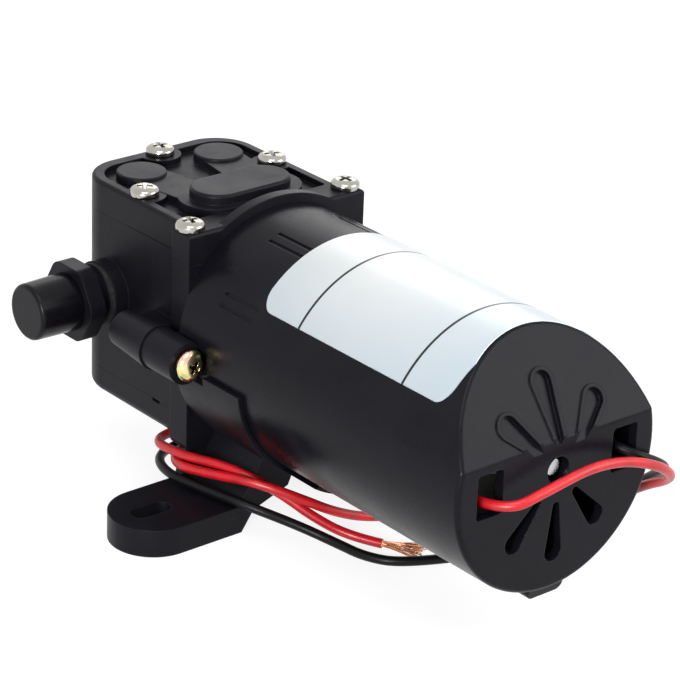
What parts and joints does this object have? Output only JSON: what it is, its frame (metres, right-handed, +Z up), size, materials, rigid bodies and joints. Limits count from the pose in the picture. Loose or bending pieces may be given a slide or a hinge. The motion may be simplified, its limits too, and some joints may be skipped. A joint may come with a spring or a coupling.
{
  "type": "diaphragm pump",
  "caption": "Small black electric diaphragm water pump: square head with two capped side ports, round motor shroud with a blank label, slotted foot base and loose red and black leads.",
  "frame": {"origin": "on the mounting surface, under the middle of the length and width of the body", "axes": "+X along the motor towards its sloping end, +Y across towards the outlet port, +Z up"},
  "size_m": [0.1601, 0.108, 0.0757],
  "materials": {
    "black_housing": "satin",
    "shroud_plastic": "satin",
    "cap_plastic": "matt",
    "nickel_screw": "bright nickel",
    "zinc_screw": "yellow zinc",
    "steel": "ground",
    "plated_steel": "zinc plated",
    "silicon_steel": "laminated",
    "copper": "bare copper",
    "brass": "plain",
    "sintered_bronze": "sintered",
    "aluminium": "machined",
    "black_rubber": "matt",
    "grey_plastic": "matt",
    "ferrite": "matt",
    "carbon": "matt",
    "label_film": "silvery film",
    "red_pvc": "satin",
    "black_pvc": "satin"
  },
  "bodies": {
    "root": {"top_cover": "black_housing", "cover_gasket": "black_rubber", "cover_screws": "nickel_screw", "valve_plate": "grey_plastic", "inlet_valve": "black_rubber", "outlet_valve": "black_rubber", "diaphragm": "black_rubber", "pump_body": "black_housing", "bottom_cover": "black_housing", "bottom_screws": "zinc_screw", "motor_flange": "black_housing", "tie_screws": "zinc_screw", "motor_screws": "steel", "inlet_fitting": "black_housing", "outlet_fitting": "black_housing", "port_seals": "black_rubber", "mounting_base": "black_housing", "base_screws": "zinc_screw", "motor_shroud": "shroud_plastic", "label": "label_film", "motor_can": "plated_steel", "magnets": "ferrite", "front_end_plate": "plated_steel", "front_bearing_outer": "steel", "front_bearing_balls": "steel", "rear_end_plate": "plated_steel", "rear_bush": "sintered_bronze", "brush_holder": "grey_plastic", "upper_brush_spring": "steel", "lower_brush_spring": "steel", "terminals": "brass", "red_lead": "red_pvc", "black_lead": "black_pvc", "red_lead_end": "copper", "black_lead_end": "copper"},
    "rotor": {"motor_shaft": "steel", "armature_core": "silicon_steel", "windings": "copper", "commutator": "copper", "eccentric": "aluminium", "eccentric_screw": "steel", "rod_bearing_inner": "steel", "front_bearing_inner": "steel"},
    "rod": {"connecting_rod": "grey_plastic", "rod_bearing_outer": "steel", "rod_bearing_balls": "steel", "diaphragm_retainer": "steel", "retainer_screw": "steel"},
    "inlet_cap": {"inlet_cap": "cap_plastic"},
    "outlet_cap": {"outlet_cap": "cap_plastic"},
    "upper_brush": {"upper_brush": "carbon"},
    "lower_brush": {"lower_brush": "carbon"}
  },
  "joints": [
    {"name": "rotor_spin", "type": "hinge", "parent": "root", "child": "rotor", "pos_m": [0, 0, 0.0433], "axis": [1, 0, 0], "continuous": true},
    {"name": "rod_swing", "type": "hinge", "parent": "rotor", "child": "rod", "pos_m": [-0.0415, 0, 0.0449], "axis": [1, 0, 0], "continuous": true, "deforming": ["diaphragm"]},
    {"name": "inlet_cap_pull", "type": "slide", "parent": "root", "child": "inlet_cap", "axis": [0, -1, 0], "range_m": [0, 0.02]},
    {"name": "outlet_cap_pull", "type": "slide", "parent": "root", "child": "outlet_cap", "axis": [0, 1, 0], "range_m": [0, 0.02]},
    {"name": "upper_brush_slide", "type": "slide", "parent": "root", "child": "upper_brush", "axis": [0, 0, 1], "range_m": [0, 0.002], "stiffness_N_per_m": 200, "springref_m": -0.002, "deforming": ["upper_brush_spring"]},
    {"name": "lower_brush_slide", "type": "slide", "parent": "root", "child": "lower_brush", "axis": [0, 0, -1], "range_m": [0, 0.002], "stiffness_N_per_m": 200, "springref_m": -0.002, "deforming": ["lower_brush_spring"]}
  ],
  "couplings": [
    {"joint": "rod_swing", "follows": "rotor_spin", "ratio": -1}
  ]
}
